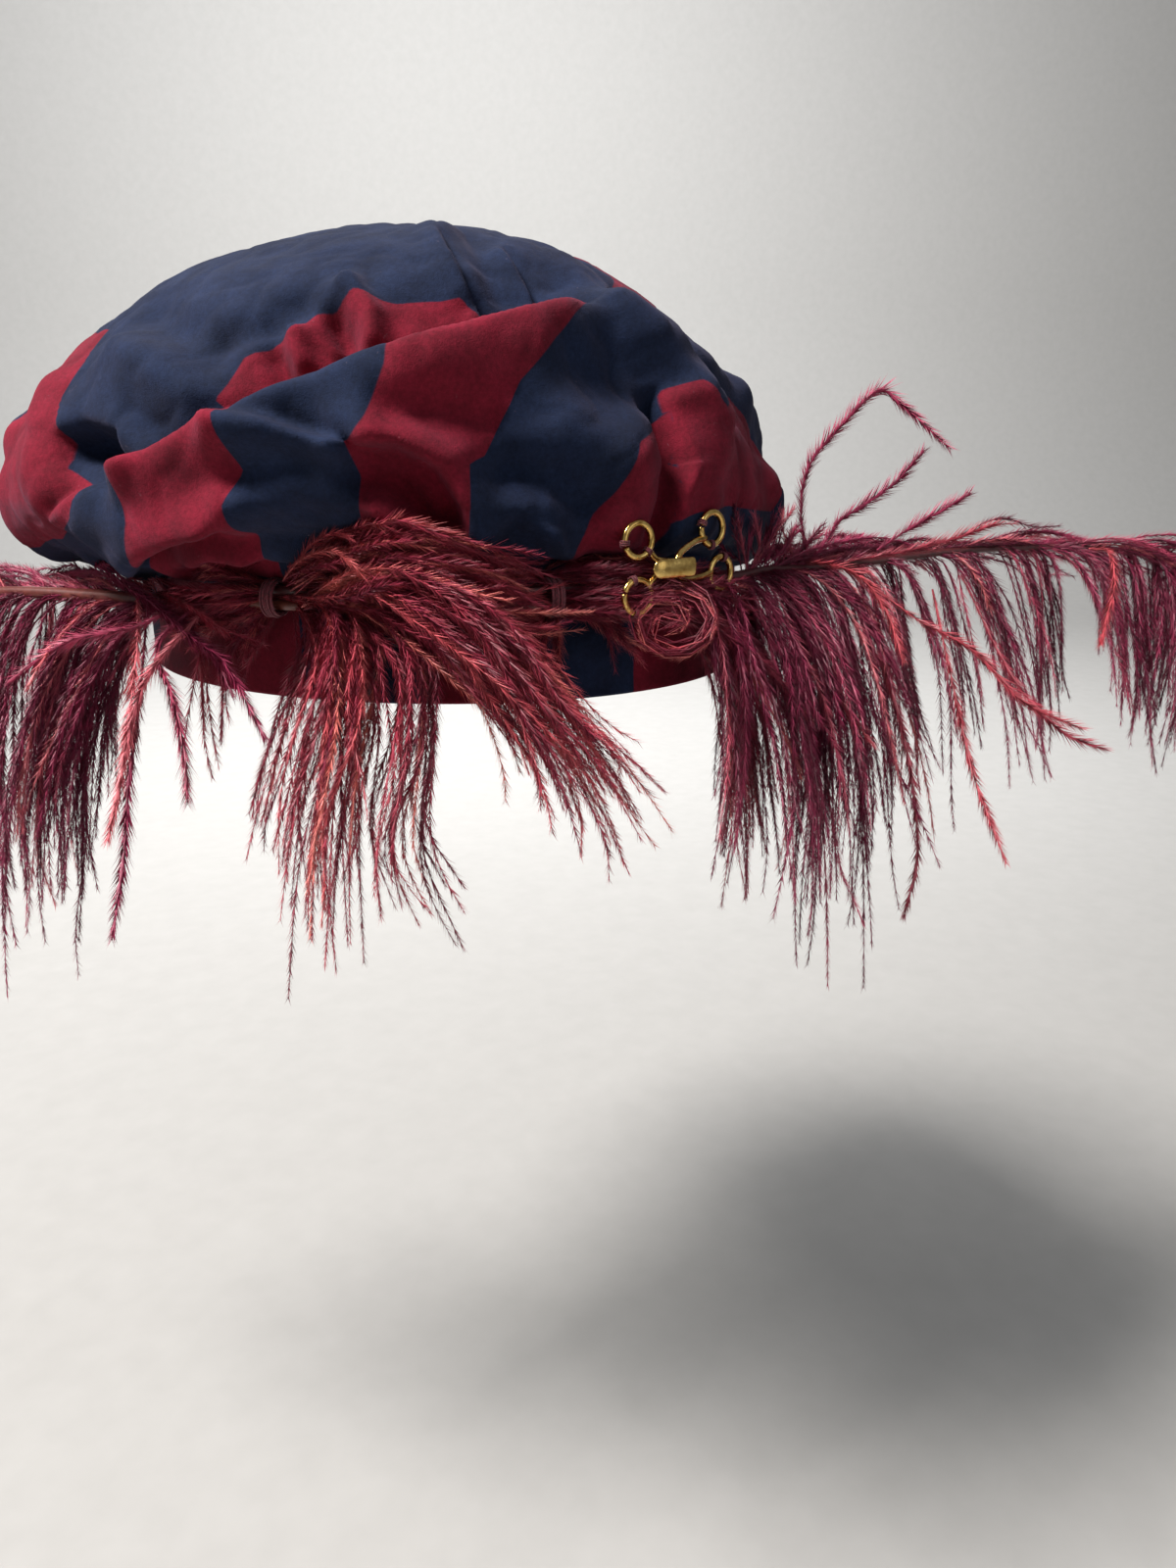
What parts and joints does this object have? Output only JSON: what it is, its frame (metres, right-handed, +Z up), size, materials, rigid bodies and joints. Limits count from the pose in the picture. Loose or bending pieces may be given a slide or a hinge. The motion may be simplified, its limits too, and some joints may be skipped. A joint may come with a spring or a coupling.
{
  "type": "feathered beret",
  "caption": "Soft puffed beret of pieced navy and burgundy check cloth on a headband, with drooping dyed feather plumes and a gold wire hook and eye at the front.",
  "frame": {"origin": "centre of the head opening, in the plane of the headband's lower edge", "axes": "+Z up along the hat's axis, the wearer faces -Y, so the wearer's right side is -X"},
  "size_m": [0.3804, 0.4153, 0.2109],
  "materials": {
    "check_cloth": "brushed cotton",
    "plume": "soft",
    "thread": "matt",
    "gold_wire": "polished"
  },
  "bodies": {
    "root": {"crown": "check_cloth", "headband": "check_cloth", "plume_front": "plume", "plume_right": "plume", "plume_left": "plume", "tie_side": "thread", "tie_front": "thread", "clasp_hook": "gold_wire", "clasp_eye": "gold_wire"}
  },
  "joints": []
}
